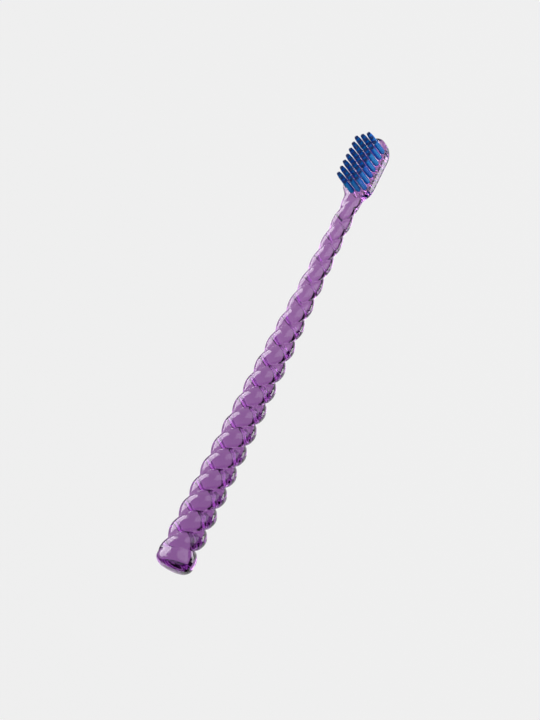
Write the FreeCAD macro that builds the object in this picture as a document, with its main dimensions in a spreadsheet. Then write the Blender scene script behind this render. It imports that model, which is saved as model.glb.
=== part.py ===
import FreeCAD, Part
import math
import os
import Sketcher

# Manual toothbrush lying on its back, bristles up.
# X runs from the butt of the handle to the toe of the head, Z points along the bristles,
# the origin is the centre of the flat butt face on the axis of the twist. Millimetres.

doc = FreeCAD.newDocument("toothbrush")
sheet = doc.addObject("Spreadsheet::Sheet", "sizes")

SIZES = [
    ("brush_length", 173.5, "butt face to toe of the head"),
    ("butt_radius", 7.15, "outer radius over the strands at the butt"),
    ("lower_station", 40.0, "place of the lower grip section"),
    ("lower_radius", 6.45, "outer radius over the strands there"),
    ("middle_station", 80.0, "place of the middle section"),
    ("middle_radius", 5.45, "outer radius over the strands there"),
    ("upper_station", 115.0, "place of the upper section"),
    ("upper_radius", 4.12, "outer radius over the strands there"),
    ("neck_radius", 3.18, "outer radius over the strands at the head"),
    ("strand_ratio", 0.26, "strand centre offset divided by strand radius"),
    ("twist_pitch", 16.84, "length of one full turn of the twist"),
    ("twist_start", 98.5, "turn of the section at the butt, degrees"),
    ("guide_radius", 10.7, "radius of the helix that turns the section"),
    ("cap_radius", 6.75, "plain round end of the grip"),
    ("cap_length", 2.3, "length of the plain round end"),
    ("butt_round", 2.0, "rounding of the butt edge"),
    ("head_length", 23.8, "heel to toe of the head plate"),
    ("head_width", 11.0, "width of the head plate"),
    ("heel_flat", 0.6, "straight edge of the head plate at the heel"),
    ("toe_round", 3.6, "radius of the tip of the toe"),
    ("toe_flank", 8.0, "radius of the curve from side to toe tip"),
    ("head_top", 2.6, "bristle face above the axis"),
    ("head_thickness", 5.0, "bristle face to back of the head"),
    ("back_round", 1.9, "rounding round the back of the head"),
    ("face_round", 1.0, "rounding round the bristle face"),
    ("neck_overlap", 2.0, "length of the twist buried in the head"),
    ("neck_run", 5.5, "length of the smooth run from twist to head"),
    ("neck_start_ratio", 0.86, "run section at the twist divided by neck radius"),
    ("neck_end_inset", 1.1, "run section inside the sides of the head"),
    ("neck_end_gap", 0.15, "run section inside the face and the back of the head"),
    ("neck_end_depth", 3.6, "length of the run buried in the head"),
    ("toe_margin", 2.46, "toe to the middle of the last tuft"),
    ("heel_margin", 1.66, "heel to the middle of the first tuft"),
    ("side_margin", 1.66, "side of the head to the middle of the outer column"),
    ("hole_diameter", 1.7, "blind tuft hole"),
    ("hole_depth", 3.2, "depth of the tuft hole"),
    ("tuft_clearance", 0.05, "tuft root to hole wall, all round"),
    ("bristle_height", 7.4, "free height of the bristles above the face"),
    ("tip_round", 0.35, "rounding of the trimmed tuft end"),
    ("anchor_thickness", 0.25, "thickness of the flat metal anchor"),
    ("anchor_height", 1.3, "height of the anchor in the hole"),
    ("anchor_bite", 0.1, "how far each anchor edge is driven into the hole wall"),
    ("anchor_floor", 0.6, "folded filaments under the anchor"),
]
for row, (alias, value, note) in enumerate(SIZES, 1):
    sheet.set("A%d" % row, alias)
    sheet.set("B%d" % row, str(value))
    sheet.set("C%d" % row, note)
    sheet.setAlias("B%d" % row, alias)
doc.recompute()

HEEL = "(sizes.brush_length - sizes.head_length)"
NECK_STATION = "(%s + sizes.neck_overlap)" % HEEL
TOE_CENTRE = "(sizes.brush_length - sizes.toe_round)"
HEAD_BACK = "(sizes.head_top - sizes.head_thickness)"
HALF_WIDTH = "(sizes.head_width / 2)"
HEEL_ROUND = "(sizes.head_width / 2 - sizes.heel_flat / 2)"


def plane_of(body, role):
    for feature in body.Origin.OriginFeatures:
        if feature.Role == role:
            return feature
    raise RuntimeError("no origin feature " + role)


def sketch_on(body, role, name):
    sketch = body.newObject("Sketcher::SketchObject", name)
    sketch.AttachmentSupport = [(plane_of(body, role), "")]
    sketch.MapMode = "FlatFace"
    return sketch


def bound(sketch, constraint, expression):
    number = sketch.addConstraint(constraint)
    sketch.setExpression("Constraints[%d]" % number, expression)
    return number


def vec(x, y):
    return FreeCAD.Vector(x, y, 0)


def segment(sketch, first, last):
    return sketch.addGeometry(Part.LineSegment(vec(*first), vec(*last)), False)


def arc(sketch, centre, radius, start, end):
    circle = Part.Circle(vec(*centre), FreeCAD.Vector(0, 0, 1), radius)
    curve = Part.ArcOfCircle(circle, math.radians(start), math.radians(end))
    return sketch.addGeometry(curve, False)


def ring_at_origin(sketch, radius):
    circle = Part.Circle(vec(0, 0), FreeCAD.Vector(0, 0, 1), radius)
    ring = sketch.addGeometry(circle, False)
    join(sketch, ring, 3, -1, 1)
    return ring


def join(sketch, first, first_end, second, second_end):
    sketch.addConstraint(Sketcher.Constraint("Coincident", first, first_end, second, second_end))


def blend(sketch, first, first_end, second, second_end):
    sketch.addConstraint(Sketcher.Constraint("Tangent", first, first_end, second, second_end))


# Handle: one moulding, head plate first
handle = doc.addObject("PartDesign::Body", "handle")
handle.Label = "handle"

outline = sketch_on(handle, "XY_Plane", "head_outline")
outline.setExpression("AttachmentOffset.Base.z", HEAD_BACK)
heel = sheet.brush_length - sheet.head_length
half_width = sheet.head_width / 2
flat = sheet.heel_flat / 2
heel_round = half_width - flat
corner = heel + heel_round
toe_centre = sheet.brush_length - sheet.toe_round
flank_drop = sheet.toe_flank - half_width
flank_span = sheet.toe_flank - sheet.toe_round
flank_turn = math.degrees(math.asin(flank_drop / flank_span))
flank_start = toe_centre - math.sqrt(flank_span ** 2 - flank_drop ** 2)
toe = arc(outline, (toe_centre, 0), sheet.toe_round, -flank_turn, flank_turn)
left_flank = arc(outline, (flank_start, -flank_drop), sheet.toe_flank, flank_turn, 90)
left_side = segment(outline, (flank_start, half_width), (corner, half_width))
left_heel = arc(outline, (corner, flat), heel_round, 90, 180)
heel_edge = segment(outline, (heel, flat), (heel, -flat))
right_heel = arc(outline, (corner, -flat), heel_round, 180, 270)
right_side = segment(outline, (corner, -half_width), (flank_start, -half_width))
right_flank = arc(outline, (flank_start, flank_drop), sheet.toe_flank, 270, 360 - flank_turn)
blend(outline, toe, 2, left_flank, 1)
blend(outline, left_flank, 2, left_side, 1)
blend(outline, left_side, 2, left_heel, 1)
blend(outline, left_heel, 2, heel_edge, 1)
blend(outline, heel_edge, 2, right_heel, 1)
blend(outline, right_heel, 2, right_side, 1)
blend(outline, right_side, 2, right_flank, 1)
blend(outline, right_flank, 2, toe, 1)
outline.addConstraint(Sketcher.Constraint("PointOnObject", toe, 3, -1))
outline.addConstraint(Sketcher.Constraint("Horizontal", left_side))
outline.addConstraint(Sketcher.Constraint("Horizontal", right_side))
outline.addConstraint(Sketcher.Constraint("Vertical", heel_edge))
outline.addConstraint(Sketcher.Constraint("Equal", left_heel, right_heel))
outline.addConstraint(Sketcher.Constraint("Equal", left_flank, right_flank))
bound(outline, Sketcher.Constraint("DistanceX", -1, 1, toe, 3, toe_centre), TOE_CENTRE)
bound(outline, Sketcher.Constraint("DistanceX", -1, 1, heel_edge, 1, heel), HEEL)
bound(outline, Sketcher.Constraint("Radius", toe, sheet.toe_round), "sizes.toe_round")
bound(outline, Sketcher.Constraint("Radius", left_flank, sheet.toe_flank), "sizes.toe_flank")
bound(outline, Sketcher.Constraint("Radius", left_heel, heel_round), HEEL_ROUND)
bound(outline, Sketcher.Constraint("DistanceY", -1, 1, left_side, 1, half_width), HALF_WIDTH)
bound(outline, Sketcher.Constraint("DistanceY", right_side, 1, -1, 1, half_width), HALF_WIDTH)

plate = handle.newObject("PartDesign::Pad", "head_plate")
plate.Profile = outline
plate.setExpression("Length", "sizes.head_thickness")
doc.recompute()


def rim_edges(feature, height):
    names = []
    for number, edge in enumerate(feature.Shape.Edges, 1):
        box = edge.BoundBox
        if abs(box.ZMin - height) < 1e-4 and abs(box.ZMax - height) < 1e-4:
            names.append("Edge%d" % number)
    return names


back_rounding = handle.newObject("PartDesign::Fillet", "back_rounding")
back_rounding.Base = (plate, rim_edges(plate, sheet.head_top - sheet.head_thickness))
back_rounding.setExpression("Radius", "sizes.back_round")
doc.recompute()

face_rounding = handle.newObject("PartDesign::Fillet", "face_rounding")
face_rounding.Base = (back_rounding, rim_edges(back_rounding, sheet.head_top))
face_rounding.setExpression("Radius", "sizes.face_round")
doc.recompute()

# Twisted grip: two round strands moulded together, one section swept while it turns and tapers
twist_guide = doc.addObject("Part::Helix", "twist_guide")
twist_guide.setExpression("Pitch", "sizes.twist_pitch")
twist_guide.setExpression("Height", NECK_STATION)
twist_guide.setExpression("Radius", "sizes.guide_radius")
twist_guide.Placement = FreeCAD.Placement(
    FreeCAD.Vector(0, 0, 0), FreeCAD.Rotation(FreeCAD.Vector(0, 1, 0), 90))

spine = sketch_on(handle, "XY_Plane", "grip_axis")
neck_station = heel + sheet.neck_overlap
axis_line = segment(spine, (0, 0), (neck_station, 0))
join(spine, axis_line, 1, -1, 1)
spine.addConstraint(Sketcher.Constraint("Horizontal", axis_line))
bound(spine, Sketcher.Constraint("DistanceX", axis_line, 1, axis_line, 2, neck_station), NECK_STATION)


def strand_section(name, station, radius):
    sketch = sketch_on(handle, "YZ_Plane", name)
    sketch.setExpression("AttachmentOffset.Base.z", station)
    sketch.setExpression(
        "AttachmentOffset.Rotation.Angle",
        "sizes.twist_start * 1deg + 360deg * (%s) / sizes.twist_pitch" % station)
    strand = sheet.get(radius) / (1 + sheet.strand_ratio)
    offset = strand * sheet.strand_ratio
    lean = math.degrees(math.acos(-offset / strand))
    near = arc(sketch, (offset, 0), strand, -lean, lean)
    far = arc(sketch, (-offset, 0), strand, 180 - lean, 180 + lean)
    join(sketch, near, 2, far, 1)
    join(sketch, far, 2, near, 1)
    sketch.addConstraint(Sketcher.Constraint("PointOnObject", near, 3, -1))
    sketch.addConstraint(Sketcher.Constraint("PointOnObject", far, 3, -1))
    sketch.addConstraint(Sketcher.Constraint("PointOnObject", near, 2, -2))
    sketch.addConstraint(Sketcher.Constraint("Equal", near, far))
    reach = "sizes.%s / (1 + sizes.strand_ratio)" % radius
    bound(sketch, Sketcher.Constraint("Radius", near, strand), reach)
    bound(sketch, Sketcher.Constraint("DistanceX", -1, 1, near, 3, offset),
          reach + " * sizes.strand_ratio")
    return sketch


butt_section = strand_section("butt_section", "0", "butt_radius")
lower_section = strand_section("lower_section", "sizes.lower_station", "lower_radius")
middle_section = strand_section("middle_section", "sizes.middle_station", "middle_radius")
upper_section = strand_section("upper_section", "sizes.upper_station", "upper_radius")
neck_section = strand_section("neck_section", NECK_STATION, "neck_radius")
doc.recompute()

grip = handle.newObject("PartDesign::AdditivePipe", "twisted_grip")
grip.Profile = butt_section
grip.Spine = (spine, ["Edge1"])
grip.Mode = "Auxiliary"
grip.AuxiliarySpine = (twist_guide, ["Edge1"])
grip.AuxiliaryCurvilinear = False
grip.Transformation = "Multisection"
grip.Sections = [lower_section, middle_section, upper_section, neck_section]
doc.recompute()

# Smooth run from the twist into the heel of the head
run_start = sketch_on(handle, "YZ_Plane", "run_start")
run_start.setExpression("AttachmentOffset.Base.z", HEEL + " - sizes.neck_run")
start_radius = sheet.neck_radius * sheet.neck_start_ratio
start_ring = ring_at_origin(run_start, start_radius)
bound(run_start, Sketcher.Constraint("Radius", start_ring, start_radius),
      "sizes.neck_radius * sizes.neck_start_ratio")

run_end = sketch_on(handle, "YZ_Plane", "run_end")
run_end.setExpression("AttachmentOffset.Base.z", HEEL + " + sizes.neck_end_depth")
run_end.setExpression("AttachmentOffset.Base.y", "sizes.head_top - sizes.head_thickness / 2")
half_wide = half_width - sheet.neck_end_inset
half_tall = sheet.head_thickness / 2 - sheet.neck_end_gap
oval = run_end.addGeometry(Part.Ellipse(vec(half_wide, 0), vec(0, half_tall), vec(0, 0)), False)
run_end.exposeInternalGeometry(oval)
join(run_end, oval, 3, -1, 1)
run_end.addConstraint(Sketcher.Constraint("Horizontal", oval + 1))
bound(run_end, Sketcher.Constraint("DistanceX", oval + 1, 2, oval + 1, 1, 2 * half_wide),
      "sizes.head_width - 2 * sizes.neck_end_inset")
bound(run_end, Sketcher.Constraint("DistanceY", oval + 2, 2, oval + 2, 1, 2 * half_tall),
      "sizes.head_thickness - 2 * sizes.neck_end_gap")
doc.recompute()

run = handle.newObject("PartDesign::AdditiveLoft", "neck_run_in")
run.Profile = run_start
run.Sections = [run_end]
doc.recompute()

# Plain round end of the grip, where the strands run out
cap_sketch = sketch_on(handle, "YZ_Plane", "cap_outline")
cap_ring = ring_at_origin(cap_sketch, sheet.cap_radius)
bound(cap_sketch, Sketcher.Constraint("Radius", cap_ring, sheet.cap_radius), "sizes.cap_radius")
cap = handle.newObject("PartDesign::Pad", "butt_cap")
cap.Profile = cap_sketch
cap.setExpression("Length", "sizes.cap_length")
doc.recompute()

# Rounded edge round the flat butt face
edge_cut = sketch_on(handle, "XY_Plane", "butt_edge")
soft = sheet.butt_round
shelf = sheet.butt_radius - soft
clear = sheet.butt_radius + soft
rounding = arc(edge_cut, (soft, shelf), soft, 90, 180)
rise = segment(edge_cut, (soft, sheet.butt_radius), (soft, clear))
back = segment(edge_cut, (soft, clear), (-soft, clear))
drop = segment(edge_cut, (-soft, clear), (-soft, shelf))
foot = segment(edge_cut, (-soft, shelf), (0, shelf))
join(edge_cut, rounding, 1, rise, 1)
join(edge_cut, rise, 2, back, 1)
join(edge_cut, back, 2, drop, 1)
join(edge_cut, drop, 2, foot, 1)
join(edge_cut, foot, 2, rounding, 2)
edge_cut.addConstraint(Sketcher.Constraint("Vertical", rise))
edge_cut.addConstraint(Sketcher.Constraint("Horizontal", back))
edge_cut.addConstraint(Sketcher.Constraint("Vertical", drop))
edge_cut.addConstraint(Sketcher.Constraint("Horizontal", foot))
edge_cut.addConstraint(Sketcher.Constraint("PointOnObject", rounding, 2, -2))
edge_cut.addConstraint(Sketcher.Constraint("Vertical", rounding, 3, rounding, 1))
edge_cut.addConstraint(Sketcher.Constraint("Horizontal", rounding, 3, rounding, 2))
bound(edge_cut, Sketcher.Constraint("Radius", rounding, soft), "sizes.butt_round")
bound(edge_cut, Sketcher.Constraint("DistanceY", -1, 1, rounding, 1, sheet.butt_radius), "sizes.butt_radius")
bound(edge_cut, Sketcher.Constraint("DistanceY", rise, 1, rise, 2, soft), "sizes.butt_round")
bound(edge_cut, Sketcher.Constraint("DistanceX", drop, 1, -1, 1, soft), "sizes.butt_round")
doc.recompute()

butt_rounding = handle.newObject("PartDesign::Groove", "butt_rounding")
butt_rounding.Profile = edge_cut
butt_rounding.ReferenceAxis = (edge_cut, ["H_Axis"])
butt_rounding.Angle = 360
doc.recompute()

# Bristle field: five staggered columns, counted from the heel, one tuft fewer with each step outwards
COLUMN_NAMES = ["outer_left", "inner_left", "middle", "inner_right", "outer_right"]
MIDDLE_COUNT = 9
OUTER_STEP = 2
COLUMNS = []
for number, column in enumerate(COLUMN_NAMES):
    step = OUTER_STEP - number
    COLUMNS.append((column, MIDDLE_COUNT - abs(step), step))
ROW_PITCH = "((sizes.head_length - sizes.toe_margin - sizes.heel_margin) / %d)" % (MIDDLE_COUNT - 1)
COLUMN_PITCH = "((sizes.head_width / 2 - sizes.side_margin) / %d)" % OUTER_STEP


def first_place(step):
    return "%s + sizes.heel_margin + %g * %s" % (HEEL, abs(step) / 2, ROW_PITCH)


def side_place(step):
    return "%d * %s" % (step, COLUMN_PITCH)


last = butt_rounding
for column, count, step in COLUMNS:
    ring_sketch = sketch_on(handle, "XY_Plane", "hole_sketch_" + column)
    ring_sketch.setExpression("AttachmentOffset.Base.x", first_place(step))
    ring_sketch.setExpression("AttachmentOffset.Base.y", side_place(step))
    ring_sketch.setExpression("AttachmentOffset.Base.z", "sizes.head_top")
    ring = ring_at_origin(ring_sketch, sheet.hole_diameter / 2)
    bound(ring_sketch, Sketcher.Constraint("Diameter", ring, sheet.hole_diameter), "sizes.hole_diameter")
    hole = handle.newObject("PartDesign::Pocket", "hole_" + column)
    hole.Profile = ring_sketch
    hole.setExpression("Length", "sizes.hole_depth")
    doc.recompute()
    row_of_holes = handle.newObject("PartDesign::LinearPattern", "holes_" + column)
    row_of_holes.Originals = [hole]
    row_of_holes.Direction = (plane_of(handle, "X_Axis"), [""])
    row_of_holes.setExpression("Length", "%d * %s" % (count - 1, ROW_PITCH))
    row_of_holes.Occurrences = count
    handle.Tip = row_of_holes
    doc.recompute()
    if row_of_holes.Shape.Volume > last.Shape.Volume - 1:
        raise RuntimeError("holes of column %s cut nothing" % column)
    last = row_of_holes

# Tufts: filaments folded round their anchor, standing in the hole and trimmed flat with a soft edge
TUFT_RADIUS = "(sizes.hole_diameter / 2 - sizes.tuft_clearance)"
TUFT_LENGTH = "(sizes.hole_depth + sizes.bristle_height)"
tuft_radius = sheet.hole_diameter / 2 - sheet.tuft_clearance
tuft_length = sheet.hole_depth + sheet.bristle_height


def tuft_place(step, index):
    return "%s + %d * %s" % (first_place(step), index, ROW_PITCH)


def tuft(name, step, index):
    body = doc.addObject("PartDesign::Body", name)
    body.Label = name
    half = sketch_on(body, "XZ_Plane", name + "_profile")
    shoulder = tuft_length - sheet.tip_round
    flat_top = tuft_radius - sheet.tip_round
    floor_line = segment(half, (0, 0), (tuft_radius, 0))
    side = segment(half, (tuft_radius, 0), (tuft_radius, shoulder))
    soft = arc(half, (flat_top, shoulder), sheet.tip_round, 0, 90)
    top = segment(half, (flat_top, tuft_length), (0, tuft_length))
    middle = segment(half, (0, tuft_length), (0, 0))
    join(half, floor_line, 1, -1, 1)
    join(half, floor_line, 2, side, 1)
    blend(half, side, 2, soft, 1)
    blend(half, soft, 2, top, 1)
    join(half, top, 2, middle, 1)
    join(half, middle, 2, floor_line, 1)
    half.addConstraint(Sketcher.Constraint("Horizontal", floor_line))
    half.addConstraint(Sketcher.Constraint("Vertical", side))
    half.addConstraint(Sketcher.Constraint("Horizontal", top))
    half.addConstraint(Sketcher.Constraint("Vertical", middle))
    bound(half, Sketcher.Constraint("DistanceX", floor_line, 1, floor_line, 2, tuft_radius), TUFT_RADIUS)
    bound(half, Sketcher.Constraint("DistanceY", middle, 2, middle, 1, tuft_length), TUFT_LENGTH)
    bound(half, Sketcher.Constraint("Radius", soft, sheet.tip_round), "sizes.tip_round")
    bundle = body.newObject("PartDesign::Revolution", name + "_bundle")
    bundle.Profile = half
    bundle.ReferenceAxis = (half, ["V_Axis"])
    bundle.Angle = 360
    slot = sketch_on(body, "XZ_Plane", name + "_fold")
    reach = sheet.anchor_thickness / 2
    bottom = sheet.anchor_floor
    crest = bottom + sheet.anchor_height
    low = segment(slot, (-reach, bottom), (reach, bottom))
    right = segment(slot, (reach, bottom), (reach, crest))
    high = segment(slot, (reach, crest), (-reach, crest))
    left = segment(slot, (-reach, crest), (-reach, bottom))
    join(slot, low, 2, right, 1)
    join(slot, right, 2, high, 1)
    join(slot, high, 2, left, 1)
    join(slot, left, 2, low, 1)
    slot.addConstraint(Sketcher.Constraint("Horizontal", high))
    slot.addConstraint(Sketcher.Constraint("Vertical", right))
    slot.addConstraint(Sketcher.Constraint("Symmetric", low, 1, low, 2, -2))
    slot.addConstraint(Sketcher.Constraint("Vertical", left))
    bound(slot, Sketcher.Constraint("DistanceX", low, 1, low, 2, 2 * reach), "sizes.anchor_thickness")
    bound(slot, Sketcher.Constraint("DistanceY", right, 1, right, 2, crest - bottom), "sizes.anchor_height")
    bound(slot, Sketcher.Constraint("DistanceY", -1, 1, low, 2, bottom), "sizes.anchor_floor")
    fold = body.newObject("PartDesign::Pocket", name + "_slot")
    fold.Profile = slot
    fold.setExpression("Length", "sizes.hole_diameter * 2")
    fold.Midplane = True
    body.setExpression("Placement.Base.x", tuft_place(step, index))
    body.setExpression("Placement.Base.y", side_place(step))
    body.setExpression("Placement.Base.z", "sizes.head_top - sizes.hole_depth")
    return body


tufts = []
anchors = []
for column, count, step in COLUMNS:
    for index in range(count):
        tufts.append(tuft("tuft_%s_%d" % (column, index + 1), step, index))
        plate_box = doc.addObject("Part::Box", "anchor_%s_%d" % (column, index + 1))
        plate_box.setExpression("Length", "sizes.anchor_thickness")
        plate_box.setExpression("Width", "sizes.hole_diameter + 2 * sizes.anchor_bite")
        plate_box.setExpression("Height", "sizes.anchor_height")
        plate_box.setExpression(
            "Placement.Base.x", "%s - sizes.anchor_thickness / 2" % tuft_place(step, index))
        plate_box.setExpression(
            "Placement.Base.y",
            "%s - sizes.hole_diameter / 2 - sizes.anchor_bite" % side_place(step))
        plate_box.setExpression(
            "Placement.Base.z", "sizes.head_top - sizes.hole_depth + sizes.anchor_floor")
        anchors.append(plate_box)

# Anchors: one flat metal plate in the fold of every tuft, driven into the hole walls
anchor_set = doc.addObject("Part::Compound", "tuft_anchors")
anchor_set.Label = "tuft_anchors"
anchor_set.Links = anchors
doc.recompute()

parts = [handle] + tufts + [anchor_set]
for item in doc.Objects:
    for word in item.State:
        if word in ("Invalid", "Error"):
            raise RuntimeError("%s is %s" % (item.Label, word))
for item in parts:
    if item.Shape.isNull() or not item.Shape.isValid():
        raise RuntimeError(item.Label + " has no valid shape")
for item in [handle] + tufts:
    if len(item.Shape.Solids) != 1:
        raise RuntimeError(item.Label + " is not one solid")
full_bundle = math.pi * tuft_radius ** 2 * tuft_length
anchor_section = sheet.anchor_height * sheet.anchor_thickness
for item in tufts:
    if item.Shape.Volume > full_bundle - anchor_section * tuft_radius:
        raise RuntimeError(item.Label + " has no slot for its anchor")

os.makedirs("parts", exist_ok=True)
for item in parts:
    item.Shape.exportStep("parts/%s.step" % item.Label)
    print(item.Label, round(item.Shape.Volume, 3))
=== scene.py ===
import math

import bpy
from mathutils import Matrix, Vector


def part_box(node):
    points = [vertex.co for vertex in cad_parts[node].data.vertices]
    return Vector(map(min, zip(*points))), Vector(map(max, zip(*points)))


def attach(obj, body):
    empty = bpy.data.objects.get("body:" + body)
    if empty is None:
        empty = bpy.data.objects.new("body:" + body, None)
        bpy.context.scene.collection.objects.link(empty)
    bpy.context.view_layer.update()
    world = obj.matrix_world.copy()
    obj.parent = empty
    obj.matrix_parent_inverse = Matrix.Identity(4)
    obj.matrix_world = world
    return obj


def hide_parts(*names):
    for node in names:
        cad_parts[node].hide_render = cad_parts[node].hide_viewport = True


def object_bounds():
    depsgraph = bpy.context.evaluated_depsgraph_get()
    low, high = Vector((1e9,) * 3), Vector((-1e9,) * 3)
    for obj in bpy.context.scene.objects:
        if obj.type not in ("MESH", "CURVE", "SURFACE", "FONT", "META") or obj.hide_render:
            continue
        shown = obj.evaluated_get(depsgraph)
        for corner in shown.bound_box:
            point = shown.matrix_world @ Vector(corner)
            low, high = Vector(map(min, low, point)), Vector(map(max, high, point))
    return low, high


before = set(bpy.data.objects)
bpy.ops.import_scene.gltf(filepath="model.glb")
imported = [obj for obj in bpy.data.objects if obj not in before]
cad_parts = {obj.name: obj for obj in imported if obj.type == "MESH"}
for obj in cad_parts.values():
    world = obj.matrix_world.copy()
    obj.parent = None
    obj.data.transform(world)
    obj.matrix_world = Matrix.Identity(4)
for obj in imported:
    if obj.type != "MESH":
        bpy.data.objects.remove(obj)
cad_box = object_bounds()

# Handle, neck and head: one injection moulding in clear purple plastic. The grip is shaped like two
# round strands twisted together, and the head is a rounded plate with a blind hole for every tuft.
# Its sizes are in millimetres until the finished skin is scaled to metres.
MM = 0.001
FULL_TURN = 2.0 * math.pi
BRUSH_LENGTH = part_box("handle")[1].x / MM
HEAD_LENGTH = 23.8
HEEL = BRUSH_LENGTH - HEAD_LENGTH
HEAD_TOP = 2.6
TWIST_PITCH = 16.84
TAPER = [(0.0, 7.07), (40.0, 6.45), (80.0, 5.45), (115.0, 4.12), (151.7, 3.18)]
TAPER_END = TAPER[-1][0]
TAPER_WIDEST = TAPER[0][1]
HOLE_DIAMETER = 1.7
HOLE_DEPTH = 3.2
HOLE_SIDES = 20
HOLE_MARGIN = 0.05


class Wire:
    """One output socket of a node tree. Arithmetic on it adds Math nodes to that tree."""

    def __init__(self, sheet, socket):
        self.sheet = sheet
        self.socket = socket

    def maths(self, operation, *values):
        return self.sheet.add("ShaderNodeMath", {"operation": operation}, dict(enumerate(values)))

    def beside(self, name):
        return Wire(self.sheet, self.socket.node.outputs[name])

    def __add__(self, other):
        return self.maths("ADD", self, other)

    def __radd__(self, other):
        return self.maths("ADD", other, self)

    def __sub__(self, other):
        return self.maths("SUBTRACT", self, other)

    def __rsub__(self, other):
        return self.maths("SUBTRACT", other, self)

    def __mul__(self, other):
        return self.maths("MULTIPLY", self, other)

    def __rmul__(self, other):
        return self.maths("MULTIPLY", other, self)

    def __truediv__(self, other):
        return self.maths("DIVIDE", self, other)

    def __pow__(self, other):
        return self.maths("POWER", self, other)

    def __neg__(self):
        return self.maths("MULTIPLY", self, -1.0)

    def __abs__(self):
        return self.maths("ABSOLUTE", self)

    def __gt__(self, other):
        return self.maths("GREATER_THAN", self, other)

    def __lt__(self, other):
        return self.maths("LESS_THAN", self, other)

    def root(self):
        return self.maths("SQRT", self)

    def sine(self):
        return self.maths("SINE", self)

    def cosine(self):
        return self.maths("COSINE", self)

    def exponent(self):
        return self.maths("EXPONENT", self)

    def angle_above(self, other):
        return self.maths("ARCTAN2", self, other)

    def most(self, other):
        return self.maths("MAXIMUM", self, other)

    def least(self, other):
        return self.maths("MINIMUM", self, other)

    def merged(self, other, softness):
        return self.maths("SMOOTH_MIN", self, other, softness)


class Sheet:
    """A node tree under construction. add() makes one node, sets it up and returns an output."""

    def __init__(self, tree):
        self.tree = tree
        self.sizes = {}

    def add(self, kind, settings=None, sockets=None, output=0):
        node = self.tree.nodes.new(kind)
        for name, value in (settings or {}).items():
            if name == "knots":
                knots = node.mapping.curves[0].points
                while len(knots) < len(value):
                    knots.new(0.5, 0.5)
                for knot, place in zip(knots, value):
                    knot.location = place
                node.mapping.update()
            else:
                setattr(node, name, value)
        for name, value in (sockets or {}).items():
            if isinstance(value, Wire):
                self.tree.links.new(value.socket, node.inputs[name])
            else:
                node.inputs[name].default_value = value
        return Wire(self, node.outputs[output]) if node.outputs else None

    def size(self, name, value, kind="NodeSocketFloat"):
        """A named input of the tree, with the value that made_by() gives it."""
        socket = self.tree.interface.new_socket(name=name, in_out="INPUT", socket_type=kind)
        self.sizes[name] = (socket.identifier, value)
        source = self.tree.nodes.new("NodeGroupInput")
        return Wire(self, source.outputs[name])

    def vector(self, x=0.0, y=0.0, z=0.0):
        return self.add("ShaderNodeCombineXYZ", None, {"X": x, "Y": y, "Z": z})

    def position(self):
        point = self.add("GeometryNodeInputPosition")
        x = self.add("ShaderNodeSeparateXYZ", None, {"Vector": point}, "X")
        return x, x.beside("Y"), x.beside("Z")

    def eased(self, value, start, end, first=0.0, last=1.0):
        return self.add("ShaderNodeMapRange", {"interpolation_type": "SMOOTHSTEP"}, {
            "Value": value, "From Min": start, "From Max": end, "To Min": first, "To Max": last})

    def noise(self, place, scale, detail):
        return self.add(
            "ShaderNodeTexNoise", None, {"Vector": place, "Scale": scale, "Detail": detail}, "Fac")

    def blend(self, share, first, second):
        share_socket, first_socket, second_socket, colour_socket = 0, 6, 7, 2
        return self.add("ShaderNodeMix", {"data_type": "RGBA"}, {
            share_socket: share, first_socket: first, second_socket: second}, colour_socket)

    def result(self, geometry, material):
        whole = self.add("GeometryNodeRealizeInstances", None, {"Geometry": geometry})
        dressed = self.add("GeometryNodeSetMaterial", None, {"Geometry": whole, "Material": material})
        self.tree.interface.new_socket(
            name="Geometry", in_out="OUTPUT", socket_type="NodeSocketGeometry")
        end = self.tree.nodes.new("NodeGroupOutput")
        self.tree.links.new(dressed.socket, end.inputs["Geometry"])


def geometry_sheet(name):
    return Sheet(bpy.data.node_groups.new(name, "GeometryNodeTree"))


def material_sheet(name):
    material = bpy.data.materials.new(name)
    material.use_nodes = True
    material.node_tree.nodes.clear()
    return material, Sheet(material.node_tree)


def made_by(sheet, name, own_sizes):
    """The plain mesh that a geometry tree gives, as an object at the origin."""
    blank = bpy.data.meshes.new(name)
    piece = bpy.data.objects.new(name, blank)
    bpy.context.scene.collection.objects.link(piece)
    modifier = piece.modifiers.new(name, "NODES")
    modifier.node_group = sheet.tree
    for label, (identifier, value) in sheet.sizes.items():
        modifier[identifier] = own_sizes.get(label, value)
    bpy.context.view_layer.update()
    seen = piece.evaluated_get(bpy.context.evaluated_depsgraph_get())
    mesh = bpy.data.meshes.new_from_object(seen)
    piece.modifiers.remove(modifier)
    piece.data = mesh
    mesh.name = name
    bpy.data.meshes.remove(blank)
    return piece


# The plastic is tinted at its skin and by its depth. Hole walls add next to no tint of their own.
PURPLE = (0.42, 0.215, 0.48, 1.0)
LIGHT_PURPLE = (0.46, 0.245, 0.52, 1.0)
HOLE_WALL_TINT = (0.95, 0.90, 0.96, 1.0)
DEPTH_TINT = (0.5, 0.107, 0.587, 1.0)
DEPTH_DENSITY = 80.0
PLASTIC_IOR = 1.45
FLOW_SCALE = 90.0
FLOW_WAVE = 0.02
FLOW_WAVE_HEIGHT = 0.0005
SMEAR_SCALE = 420.0
POLISH = 0.004
SMEAR_ROUGHNESS = 0.02


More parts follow.
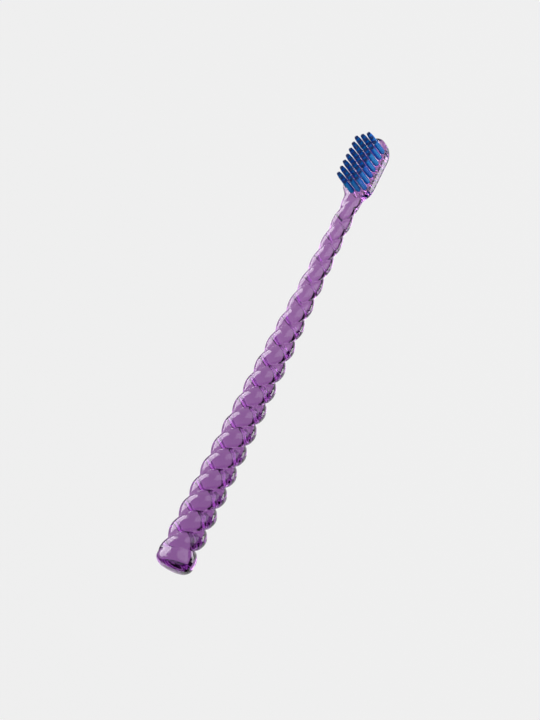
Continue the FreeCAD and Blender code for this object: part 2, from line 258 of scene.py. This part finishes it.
def clear_purple():
    material, sheet = material_sheet("clear_purple")
    place = sheet.add("ShaderNodeTexCoord", None, None, "Object")
    flow = sheet.noise(place, FLOW_SCALE, 3.0)
    smear = sheet.noise(place, SMEAR_SCALE, 4.0)
    hole_wall = sheet.add("ShaderNodeAttribute", {"attribute_name": "hole_wall"}, None, "Fac")
    tint = sheet.blend(hole_wall, sheet.blend(flow, PURPLE, LIGHT_PURPLE), HOLE_WALL_TINT)
    wave = sheet.add("ShaderNodeBump", None, {
        "Height": flow, "Strength": FLOW_WAVE, "Distance": FLOW_WAVE_HEIGHT})
    shader = sheet.add("ShaderNodeBsdfPrincipled", None, {
        "Base Color": tint, "Roughness": POLISH + SMEAR_ROUGHNESS * smear, "IOR": PLASTIC_IOR,
        "Transmission Weight": 1.0, "Normal": wave})
    depth = sheet.add("ShaderNodeVolumeAbsorption", None, {
        "Color": DEPTH_TINT, "Density": DEPTH_DENSITY})
    sheet.add("ShaderNodeOutputMaterial", None, {"Surface": shader, "Volume": depth})
    return material


def rounded_meeting(first, second, radius):
    """Distance to the rounded edge where two faces meet."""
    a = first + radius
    b = second + radius
    corner = (a.most(0.0) ** 2.0 + b.most(0.0) ** 2.0).root()
    return corner + a.most(b).least(0.0) - radius


def handle_surface(sheet):
    """Signed distance from the handle's surface at the point being moved."""
    length = sheet.size("Brush Length", BRUSH_LENGTH)
    head_length = sheet.size("Head Length", HEAD_LENGTH)
    head_width = sheet.size("Head Width", 11.0)
    head_top = sheet.size("Head Top", HEAD_TOP)
    head_thickness = sheet.size("Head Thickness", 5.0)
    heel_flat = sheet.size("Heel Flat", 0.6)
    toe_round = sheet.size("Toe Round", 3.6)
    toe_flank = sheet.size("Toe Flank", 8.0)
    back_round = sheet.size("Back Round", 1.9)
    face_round = sheet.size("Face Round", 1.0)
    head_softness = sheet.size("Head Softness", 1.2)
    pitch = sheet.size("Twist Pitch", TWIST_PITCH)
    start = sheet.size("Twist Start", math.radians(98.5))
    ratio = sheet.size("Strand Ratio", 0.26)
    crease = sheet.size("Crease Softness", 0.03)
    crease_depth = sheet.size("Crease Depth", 0.12)
    crease_width = sheet.size("Crease Width", 0.25)
    cap_radius = sheet.size("Cap Radius", 6.9)
    cap_length = sheet.size("Cap Length", 2.3)
    cap_fade = sheet.size("Cap Fade", 0.045)
    cap_softness = sheet.size("Cap Softness", 0.6)
    butt_round = sheet.size("Butt Round", 1.9)
    butt_dome = sheet.size("Butt Dome Radius", 22.0)
    grip_overrun = sheet.size("Grip Overrun", 2.0)
    neck_run = sheet.size("Neck Run", 5.5)
    neck_depth = sheet.size("Neck End Depth", 3.6)
    neck_radius = sheet.size("Neck Start Radius", 2.73)
    neck_wide = sheet.size("Neck End Half Width", 4.4)
    neck_tall = sheet.size("Neck End Half Height", 2.35)
    neck_softness = sheet.size("Neck Softness", 0.5)

    x, y, z = sheet.position()
    heel = length - head_length

    # Two strands of round section, drawn together at the crease and tapering to the neck.
    knots = [(station / TAPER_END, radius / TAPER_WIDEST) for station, radius in TAPER]
    taper = sheet.add("ShaderNodeFloatCurve", {"knots": knots}, {"Value": x / TAPER_END})
    outer = taper * TAPER_WIDEST
    turn = x * FULL_TURN / pitch + start
    across = (z.angle_above(y) - turn).cosine()
    strand = outer / (1.0 + ratio)
    offset = strand * ratio
    bulge = (across ** 2.0 + crease ** 2.0).root()
    rope = offset * bulge + (strand ** 2.0 - offset ** 2.0 * (1.0 - across ** 2.0)).root()
    rope = rope - strand * crease_depth * (-((across / crease_width) ** 2.0)).exponent()

    # The plain round end that runs out into the twist, with a slightly domed butt.
    plain = cap_radius - (x - cap_length).most(0.0) ** 2.0 * cap_fade
    spread = (y ** 2.0 + z ** 2.0).root()
    grip = (spread - rope).merged(spread - plain, cap_softness)
    butt = spread ** 2.0 / (2.0 * butt_dome) - x
    grip = rounded_meeting(grip, butt, butt_round)
    grip = grip + (x - heel - grip_overrun).most(0.0)

    # The neck widens from a round to the flat oval that meets the head.
    share = ((x - heel + neck_run) / (neck_run + neck_depth)).most(0.0).least(1.0)
    wide = neck_radius + (neck_wide - neck_radius) * share
    tall = neck_radius + (neck_tall - neck_radius) * share
    neck = (((y / wide) ** 2.0 + (z / tall) ** 2.0).root() - 1.0) * tall
    neck = neck + ((heel - neck_run - x).most(0.0) + (x - heel - neck_depth).most(0.0))

    # The head's outline is a wide round at the heel, and two flanks with a smaller round at the toe.
    half = head_width / 2.0
    side = abs(y)
    heel_round = half - heel_flat / 2.0
    inward = (heel + heel_round - x).most(0.0)
    aside = side - heel_flat / 2.0
    heel_edge = (inward ** 2.0 + aside.most(0.0) ** 2.0).root() - heel_round
    drop = toe_flank - half
    reach = ((toe_flank - toe_round) ** 2.0 - drop ** 2.0).root()
    flank_start = length - toe_round - reach
    along = x - flank_start
    flank = (along ** 2.0 + (side + drop) ** 2.0).root() - toe_flank
    tip = ((along - reach) ** 2.0 + side ** 2.0).root() - toe_round
    at_tip = (drop * along) > (reach * (side + drop))
    toe_edge = flank + (tip - flank) * at_tip
    at_toe = x > flank_start
    rim = heel_edge + (toe_edge - heel_edge) * at_toe
    above = z - (head_top - head_thickness / 2.0)
    rounding = back_round + (face_round - back_round) * (above > 0.0)
    plate = rounded_meeting(rim, abs(above) - head_thickness / 2.0, rounding)

    return grip.merged(neck, neck_softness).merged(plate, head_softness)


# The skin is a net of rings from butt to toe, closed by a fan of rays at either end.
RING_POINTS = 90
RING_STEP = TWIST_PITCH / RING_POINTS
BUTT_CENTRE = 4.0
BUTT_RINGS = 40
GRIP_RINGS = round((HEEL - BUTT_CENTRE) / RING_STEP)
HEAD_STEP = 0.35
TOE_RUN = 6.5
HEAD_RINGS = round((HEAD_LENGTH - TOE_RUN) / HEAD_STEP)
TOE_RINGS = 36
HEAD_SPREAD = 1.2
HEAD_SPREAD_RUN = 4.0
START_REACH = 11.0
SURFACE_STEPS = 44
STEP_SHARE = 0.7
WELD = 0.002
CRISP_EDGE = math.radians(40.0)


def handle_form(holes, material):
    """Rings of points walk in along their rays from outside until they lie on the surface."""
    sheet = geometry_sheet("twisted_handle")
    rings = BUTT_RINGS + GRIP_RINGS + HEAD_RINGS + TOE_RINGS
    net = sheet.add("GeometryNodeMeshGrid", None, {
        "Size X": 1.0, "Size Y": 1.0, "Vertices X": rings + 1, "Vertices Y": RING_POINTS + 1})
    u, v, level = sheet.position()
    number = (u + 0.5) * float(rings)
    angle = (v + 0.5) * FULL_TURN
    butt_share = 1.0 - (number / float(BUTT_RINGS)).least(1.0)
    grip_share = (number - float(BUTT_RINGS)).most(0.0).least(float(GRIP_RINGS))
    head_share = (number - float(BUTT_RINGS + GRIP_RINGS)).most(0.0).least(float(HEAD_RINGS))
    toe_share = ((number - float(rings - TOE_RINGS)) / float(TOE_RINGS)).most(0.0)
    station = BUTT_CENTRE + grip_share * RING_STEP + head_share * HEAD_STEP
    lean = (toe_share - butt_share) * (math.pi / 2.0)
    wide = 1.0 + HEAD_SPREAD * (head_share * HEAD_STEP / HEAD_SPREAD_RUN).least(1.0)
    flat_y = angle.cosine() * wide
    flat_z = angle.sine()
    norm = (flat_y ** 2.0 + flat_z ** 2.0).root()
    ray = sheet.vector(lean.sine(), lean.cosine() * flat_y / norm, lean.cosine() * flat_z / norm)
    away = sheet.add("ShaderNodeVectorMath", {"operation": "SCALE"}, {0: ray, "Scale": START_REACH})
    first = sheet.add("ShaderNodeVectorMath", {"operation": "ADD"}, {0: sheet.vector(station), 1: away})
    kept = sheet.add("GeometryNodeStoreNamedAttribute", {"data_type": "FLOAT_VECTOR", "domain": "POINT"}, {
        "Geometry": net, "Name": "ray", "Value": ray})
    placed = sheet.add("GeometryNodeSetPosition", None, {"Geometry": kept, "Position": first})

    entry = sheet.tree.nodes.new("GeometryNodeRepeatInput")
    leave = sheet.tree.nodes.new("GeometryNodeRepeatOutput")
    entry.pair_with_output(leave)
    entry.inputs["Iterations"].default_value = SURFACE_STEPS
    sheet.tree.links.new(placed.socket, entry.inputs["Geometry"])
    line = sheet.add("GeometryNodeInputNamedAttribute", {"data_type": "FLOAT_VECTOR"}, {"Name": "ray"})
    inward = handle_surface(sheet) * -STEP_SHARE
    step = sheet.add("ShaderNodeVectorMath", {"operation": "SCALE"}, {0: line, "Scale": inward})
    moved = sheet.add("GeometryNodeSetPosition", None, {
        "Geometry": Wire(sheet, entry.outputs["Geometry"]), "Offset": step})
    sheet.tree.links.new(moved.socket, leave.inputs["Geometry"])

    skin = Wire(sheet, leave.outputs["Geometry"])
    skin = sheet.add("GeometryNodeRemoveAttribute", None, {"Geometry": skin, "Name": "ray"})
    skin = sheet.add("GeometryNodeTransform", None, {"Geometry": skin, "Scale": (MM, MM, MM)})
    skin = sheet.add("GeometryNodeMergeByDistance", None, {"Geometry": skin, "Distance": WELD * MM})
    skin = sheet.add("GeometryNodeFlipFaces", None, {"Mesh": skin})
    skin = sheet.add("GeometryNodeTriangulate", {"quad_method": "FIXED"}, {"Mesh": skin})

    bore = sheet.size("Hole Diameter", HOLE_DIAMETER * MM)
    deep = sheet.size("Hole Depth", HOLE_DEPTH * MM)
    margin = sheet.size("Hole Margin", HOLE_MARGIN * MM)
    drill = sheet.add("GeometryNodeMeshCylinder", None, {
        "Vertices": HOLE_SIDES, "Radius": bore / 2.0, "Depth": 2.0 * deep})
    spots = sheet.add(
        "GeometryNodeObjectInfo", {"transform_space": "ORIGINAL"}, {"Object": holes}, "Geometry")
    drills = sheet.add("GeometryNodeInstanceOnPoints", None, {"Points": spots, "Instance": drill})
    drills = sheet.add("GeometryNodeRealizeInstances", None, {"Geometry": drills})
    drilled = sheet.add("GeometryNodeMeshBoolean", {"operation": "DIFFERENCE", "solver": "MANIFOLD"}, {
        "Mesh 1": skin, "Mesh 2": drills})

    x, y, z = sheet.position()
    near = sheet.add("GeometryNodeProximity", {"target_element": "POINTS"}, {
        "Geometry": spots, "Sample Position": sheet.vector(x, y, HEAD_TOP * MM)}, "Distance")
    below = HEAD_TOP * MM - z
    hole_wall = (near < bore / 2.0 + margin) * (below > margin) * (below < deep + margin)
    drilled = sheet.add("GeometryNodeStoreNamedAttribute", {"data_type": "FLOAT", "domain": "FACE"}, {
        "Geometry": drilled, "Name": "hole_wall", "Value": hole_wall})

    smooth = sheet.add("GeometryNodeSetShadeSmooth", {"domain": "FACE"}, {
        "Geometry": drilled, "Shade Smooth": True})
    bend = sheet.add("GeometryNodeInputMeshEdgeAngle", None, None, "Unsigned Angle")
    crisp = sheet.add("FunctionNodeCompare", {"operation": "GREATER_THAN"}, {"A": bend, "B": CRISP_EDGE})
    shaded = sheet.add("GeometryNodeSetShadeSmooth", {"domain": "EDGE"}, {
        "Geometry": smooth, "Selection": crisp, "Shade Smooth": False})
    sheet.result(shaded, material)
    return made_by(sheet, "twisted_handle", {})


tuft_nodes = sorted(
    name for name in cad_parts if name.startswith("tuft_") and name != "tuft_anchors")
tuft_boxes = {name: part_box(name) for name in tuft_nodes}
tuft_feet = {
    name: ((low.x + high.x) / 2.0, (low.y + high.y) / 2.0, low.z)
    for name, (low, high) in tuft_boxes.items()}
places = bpy.data.meshes.new("tuft_places")
places.from_pydata([(x, y, HEAD_TOP * MM) for x, y, foot in tuft_feet.values()], [], [])
hole_places = bpy.data.objects.new("tuft_places", places)
bpy.context.scene.collection.objects.link(hole_places)

handle = handle_form(hole_places, clear_purple())
bpy.data.objects.remove(hole_places)
bpy.data.meshes.remove(places)
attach(handle, "root")
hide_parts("handle")


# Anchors: short flat cuttings of bright metal wire, one driven across every hole over the fold of
# its tuft. They stay as the solids of the assembly and get a drawn wire finish.
BRASS_SHADE = (0.52, 0.44, 0.28, 1.0)
BRASS_LIGHT = (0.80, 0.72, 0.52, 1.0)
DRAWN_LINES = (9000.0, 600.0, 9000.0)
WIRE_ROUGHNESS = 0.22
WIRE_LINE_ROUGHNESS = 0.2


def anchor_metal():
    material, sheet = material_sheet("anchor_metal")
    place = sheet.add("ShaderNodeTexCoord", None, None, "Object")
    drawn = sheet.add("ShaderNodeMapping", None, {"Vector": place, "Scale": DRAWN_LINES})
    lines = sheet.noise(drawn, 1.0, 3.0)
    shader = sheet.add("ShaderNodeBsdfPrincipled", None, {
        "Base Color": sheet.blend(lines, BRASS_SHADE, BRASS_LIGHT), "Metallic": 1.0,
        "Roughness": WIRE_ROUGHNESS + WIRE_LINE_ROUGHNESS * lines})
    sheet.add("ShaderNodeOutputMaterial", None, {"Surface": shader})
    return material


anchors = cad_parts["tuft_anchors"]
anchors.data.materials.clear()
anchors.data.materials.append(anchor_metal())


# Tufts: bundles of fine blue nylon filaments, folded in half over their anchor, packed in the hole
# and trimmed to one height with ground, rounded ends.
DEEP_BLUE = (0.001, 0.085, 0.66, 1.0)
LIGHT_BLUE = (0.014, 0.38, 0.78, 1.0)
# Painted shade: the top of every filament darkens to navy, standing in for the little light that reaches
# the ground ends from above.
TIP_PAINTED_SHADE = (0.003, 0.02, 0.16, 1.0)
TIP_SHADE_FROM = 0.955
TIP_SHADE_FULL = 0.995
TIP_SHADE_STRENGTH = 0.85
NYLON_ROUGHNESS = 0.34
NYLON_ROUGHNESS_SPREAD = 0.16
NYLON_IOR = 1.53
NYLON_SHINE = 0.3


def blue_nylon():
    material, sheet = material_sheet("blue_nylon")
    tone = sheet.add("ShaderNodeAttribute", {"attribute_name": "filament_tone"}, None, "Fac")
    rise = sheet.add("ShaderNodeAttribute", {"attribute_name": "filament_rise"}, None, "Fac")
    # Painted shade: the colour darkens towards navy near the top of each filament.
    tip_painted_shade = sheet.eased(rise, TIP_SHADE_FROM, TIP_SHADE_FULL) * TIP_SHADE_STRENGTH
    colour = sheet.blend(tip_painted_shade, sheet.blend(tone, DEEP_BLUE, LIGHT_BLUE), TIP_PAINTED_SHADE)
    shader = sheet.add("ShaderNodeBsdfPrincipled", None, {
        "Base Color": colour, "Roughness": NYLON_ROUGHNESS + NYLON_ROUGHNESS_SPREAD * tone,
        "IOR": NYLON_IOR, "Specular IOR Level": NYLON_SHINE})
    sheet.add("ShaderNodeOutputMaterial", None, {"Surface": shader})
    return material


FILAMENTS = 56
FILAMENT_RADIUS = 0.095 * MM
FILAMENT_RINGS = 9
FILAMENT_SIDES = 6
SUNFLOWER_TURN = 2.399963
GROUND_FROM = 0.975
GROUND_SHARE = 0.35
FREE_FROM = 0.3
SPLAY_FROM = -0.05
SPLAY_FULL = 0.12
GATHER_FROM = 0.65
GATHER_FULL = 1.0
TRIM_SPREAD = 0.02


def filament_form(material):
    """A disc of points in a sunflower pattern, each carrying one filament with a ground tip."""
    sheet = geometry_sheet("tuft_of_filaments")
    count = sheet.size("Filaments", FILAMENTS, "NodeSocketInt")
    seed = sheet.size("Seed", 1, "NodeSocketInt")
    centre = sheet.size("Centre", (0.0, 0.0, 0.0), "NodeSocketVector")
    tall = sheet.size("Height", 10.6 * MM)
    bundle = sheet.size("Bundle Radius", 0.8 * MM)
    thin = sheet.size("Filament Radius", FILAMENT_RADIUS)
    waist = sheet.size("Tip Share", 1.0)
    swell = sheet.size("Swell", 0.33)

    index = sheet.add("GeometryNodeInputIndex")
    ring = ((index + 0.5) / count).root() * (bundle - thin)
    turn = index * SUNFLOWER_TURN
    spot = sheet.vector(ring * turn.cosine(), ring * turn.sine())
    points = sheet.add("GeometryNodePoints", None, {"Count": count, "Position": spot})

    # One filament, with its rings closer together towards the tip.
    line = sheet.add("GeometryNodeCurvePrimitiveLine", None, {"End": sheet.vector(z=tall)})
    line = sheet.add("GeometryNodeResampleCurve", None, {"Curve": line, "Count": FILAMENT_RINGS})
    factor = sheet.add("GeometryNodeSplineParameter")
    height = sheet.vector(z=tall * (1.0 - (1.0 - factor) ** 2.0))
    line = sheet.add("GeometryNodeSetPosition", None, {"Geometry": line, "Position": height})
    line = sheet.add("GeometryNodeStoreNamedAttribute", {"data_type": "FLOAT", "domain": "POINT"}, {
        "Geometry": line, "Name": "filament_rise", "Value": factor})
    outline = sheet.add("GeometryNodeCurvePrimitiveCircle", None, {
        "Resolution": FILAMENT_SIDES, "Radius": 1.0})
    ground = sheet.eased(factor, GROUND_FROM, 1.0, 1.0, GROUND_SHARE)
    thread = sheet.add("GeometryNodeCurveToMesh", None, {
        "Curve": line, "Profile Curve": outline, "Scale": ground * thin, "Fill Caps": True})

    fan = sheet.add("GeometryNodeInstanceOnPoints", None, {"Points": points, "Instance": thread})
    chance = sheet.add("FunctionNodeRandomValue", {"data_type": "FLOAT"}, {
        "Min": 0.0, "Max": 1.0, "Seed": seed}, 1)
    fan = sheet.add("GeometryNodeStoreNamedAttribute", {"data_type": "FLOAT", "domain": "INSTANCE"}, {
        "Geometry": fan, "Name": "filament_tone", "Value": chance})
    fan = sheet.add("GeometryNodeRealizeInstances", None, {"Geometry": fan})

    # Above the face the bundle splays, gathers again at the tips and is trimmed a little unevenly.
    x, y, z = sheet.position()
    rise = z / tall
    tone = sheet.add("GeometryNodeInputNamedAttribute", {"data_type": "FLOAT"}, {"Name": "filament_tone"})
    loose = (rise - FREE_FROM).most(0.0) / (1.0 - FREE_FROM)
    splay = sheet.eased(loose, SPLAY_FROM, SPLAY_FULL)
    gather = sheet.eased(loose, GATHER_FROM, GATHER_FULL)
    draw = 1.0 + swell * splay - (1.0 + swell - waist) * gather
    short = 1.0 - TRIM_SPREAD * tone * rise
    final = sheet.add("ShaderNodeVectorMath", {"operation": "ADD"}, {
        0: sheet.vector(x * draw, y * draw, z * short), 1: centre})
    fan = sheet.add("GeometryNodeSetPosition", None, {"Geometry": fan, "Position": final})
    fan = sheet.add("GeometryNodeSetShadeSmooth", {"domain": "FACE"}, {
        "Geometry": fan, "Shade Smooth": True})
    sheet.result(fan, material)
    return sheet


tuft_sheet = filament_form(blue_nylon())
for seed, name in enumerate(tuft_nodes, 1):
    low, high = tuft_boxes[name]
    tuft = made_by(tuft_sheet, name.replace("tuft_", "filaments_"), {
        "Seed": seed, "Centre": tuft_feet[name],
        "Height": high.z - low.z, "Bundle Radius": (high.x - low.x) / 2.0})
    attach(tuft, "root")
    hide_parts(name)


# Stage: a sheet of pale paper well below the brush, so that no shadow touches it. A dark felt mat
# round the lit part of the paper, hidden from the camera, draws the dark edges of the clear plastic.
PALE = (0.863, 0.863, 0.863, 1.0)
FLOOR_GLOW = 1.035
FLOOR_GLOW_SHARE = 0.9
FLOOR_DROP = 0.3
FLOOR_HALF = 3.0
LIT_LOW = (-0.155, -0.21)
LIT_HIGH = (0.545, 0.547)
MAT_LIFT = 0.001
MAT_WIDTH = 0.9
FELT_DARK = (0.008, 0.008, 0.008, 1.0)
FELT_LIGHT = (0.02, 0.02, 0.02, 1.0)
FELT_SCALE = 300.0


def seen_directly(sheet):
    """One where the ray comes from the camera, from a reflection or through clear plastic."""
    path = sheet.add("ShaderNodeLightPath", None, None, "Is Camera Ray")
    return path.most(path.beside("Is Glossy Ray")).most(path.beside("Is Transmission Ray"))


def pale_floor():
    material, sheet = material_sheet("pale_floor")
    paper = sheet.add("ShaderNodeBsdfDiffuse", None, {"Color": PALE})
    glow = sheet.add("ShaderNodeEmission", None, {"Color": PALE, "Strength": FLOOR_GLOW})
    shader = sheet.add("ShaderNodeMixShader", None, {
        0: seen_directly(sheet) * FLOOR_GLOW_SHARE, 1: paper, 2: glow})
    sheet.add("ShaderNodeOutputMaterial", None, {"Surface": shader})
    return material


def black_felt():
    material, sheet = material_sheet("black_felt")
    place = sheet.add("ShaderNodeTexCoord", None, None, "Object")
    tone = sheet.blend(sheet.noise(place, FELT_SCALE, 2.0), FELT_DARK, FELT_LIGHT)
    shader = sheet.add("ShaderNodeBsdfDiffuse", None, {"Color": tone})
    sheet.add("ShaderNodeOutputMaterial", None, {"Surface": shader})
    return material


def corners(low, high, level):
    return [
        (low[0], low[1], level), (high[0], low[1], level),
        (high[0], high[1], level), (low[0], high[1], level)]


def staged(name, points, faces, material):
    mesh = bpy.data.meshes.new(name)
    mesh.from_pydata(points, [], faces)
    mesh.materials.append(material)
    piece = bpy.data.objects.new(name, mesh)
    bpy.context.scene.collection.objects.link(piece)
    return piece


floor_level = cad_box[0][2] - FLOOR_DROP
outside = corners((-FLOOR_HALF, -FLOOR_HALF), (FLOOR_HALF, FLOOR_HALF), floor_level)
staged("floor", outside, [(0, 1, 2, 3)], pale_floor())
around = corners(
    (LIT_LOW[0] - MAT_WIDTH, LIT_LOW[1] - MAT_WIDTH),
    (LIT_HIGH[0] + MAT_WIDTH, LIT_HIGH[1] + MAT_WIDTH), floor_level + MAT_LIFT)
around += corners(LIT_LOW, LIT_HIGH, floor_level + MAT_LIFT)
mat = staged("mat", around, [(0, 1, 5, 4), (1, 2, 6, 5), (2, 3, 7, 6), (3, 0, 4, 7)], black_felt())
mat.visible_camera = False

# The room is pale where it is seen and dimmer where it only lights the brush.
ROOM_LIGHT = 0.4
ROOM_SEEN = 0.6
world = bpy.data.worlds.new("studio")
world.use_nodes = True
world.node_tree.nodes.clear()
room = Sheet(world.node_tree)
glow = room.add("ShaderNodeBackground", None, {
    "Color": PALE, "Strength": ROOM_LIGHT + ROOM_SEEN * seen_directly(room)})
room.add("ShaderNodeOutputWorld", None, {"Surface": glow})
bpy.context.scene.world = world


def soft_light(name, place, aim, width, height, power, on_matt=True):
    lamp = bpy.data.lights.new(name, "AREA")
    lamp.shape = "RECTANGLE"
    lamp.size = width
    lamp.size_y = height
    lamp.energy = power
    light = bpy.data.objects.new(name, lamp)
    light.location = place
    light.visible_camera = False
    light.visible_diffuse = on_matt
    light.rotation_euler = (Vector(place) - Vector(aim)).to_track_quat("Z", "Y").to_euler()
    bpy.context.scene.collection.objects.link(light)


# A box from the right for the bristles, a strip behind for the pale left ends of the lobes, a card
# on the floor for the right side of the head and a small box above.
MIDDLE = (0.087, 0.0, 0.0)
HEAD_SIDE = (0.16, -0.005, 0.0)
CARD_LIFT = 0.01
soft_light("side_box", (0.63, -1.07, 0.54), MIDDLE, width=1.6, height=1.6, power=13.0)
soft_light("rim_strip", (0.1, 0.75, 0.45), MIDDLE, width=1.4, height=0.9, power=26.0, on_matt=False)
soft_light(
    "floor_card", (0.272, -0.2, floor_level + CARD_LIFT), HEAD_SIDE, width=0.2, height=0.2, power=0.6)
soft_light("top_box", (0.443, 0.626, 0.96), MIDDLE, width=0.7, height=0.5, power=3.3)

# The camera looks down on the bristle face from the butt end and the right-hand side.
VIEW_AZIMUTH = math.radians(-29.7)
VIEW_ELEVATION = math.radians(53.1)
VIEW_ROLL = math.radians(-39.25)
VIEW_DISTANCE = 4.0
VIEW_HEIGHT = 0.2501
VIEW_END = 20.0
SENSOR = 36.0
TARGET = Vector((0.08377, 0.00151, 0.0))
back = Vector((
    math.sin(VIEW_AZIMUTH) * math.cos(VIEW_ELEVATION),
    -math.cos(VIEW_AZIMUTH) * math.cos(VIEW_ELEVATION),
    math.sin(VIEW_ELEVATION)))
level = Vector((math.cos(VIEW_AZIMUTH), math.sin(VIEW_AZIMUTH), 0.0))
upright = back.cross(level)
right = level * math.cos(VIEW_ROLL) + upright * math.sin(VIEW_ROLL)
up = back.cross(right)
lens = bpy.data.cameras.new("camera")
lens.sensor_fit = "VERTICAL"
lens.sensor_height = SENSOR
lens.lens = SENSOR * VIEW_DISTANCE / VIEW_HEIGHT
lens.clip_end = VIEW_END
camera = bpy.data.objects.new("camera", lens)
turn = Matrix((right, up, back)).transposed().to_4x4()
camera.matrix_world = Matrix.Translation(TARGET + back * VIEW_DISTANCE) @ turn
bpy.context.scene.collection.objects.link(camera)
bpy.context.scene.camera = camera
bpy.context.scene.view_settings.view_transform = "Standard"
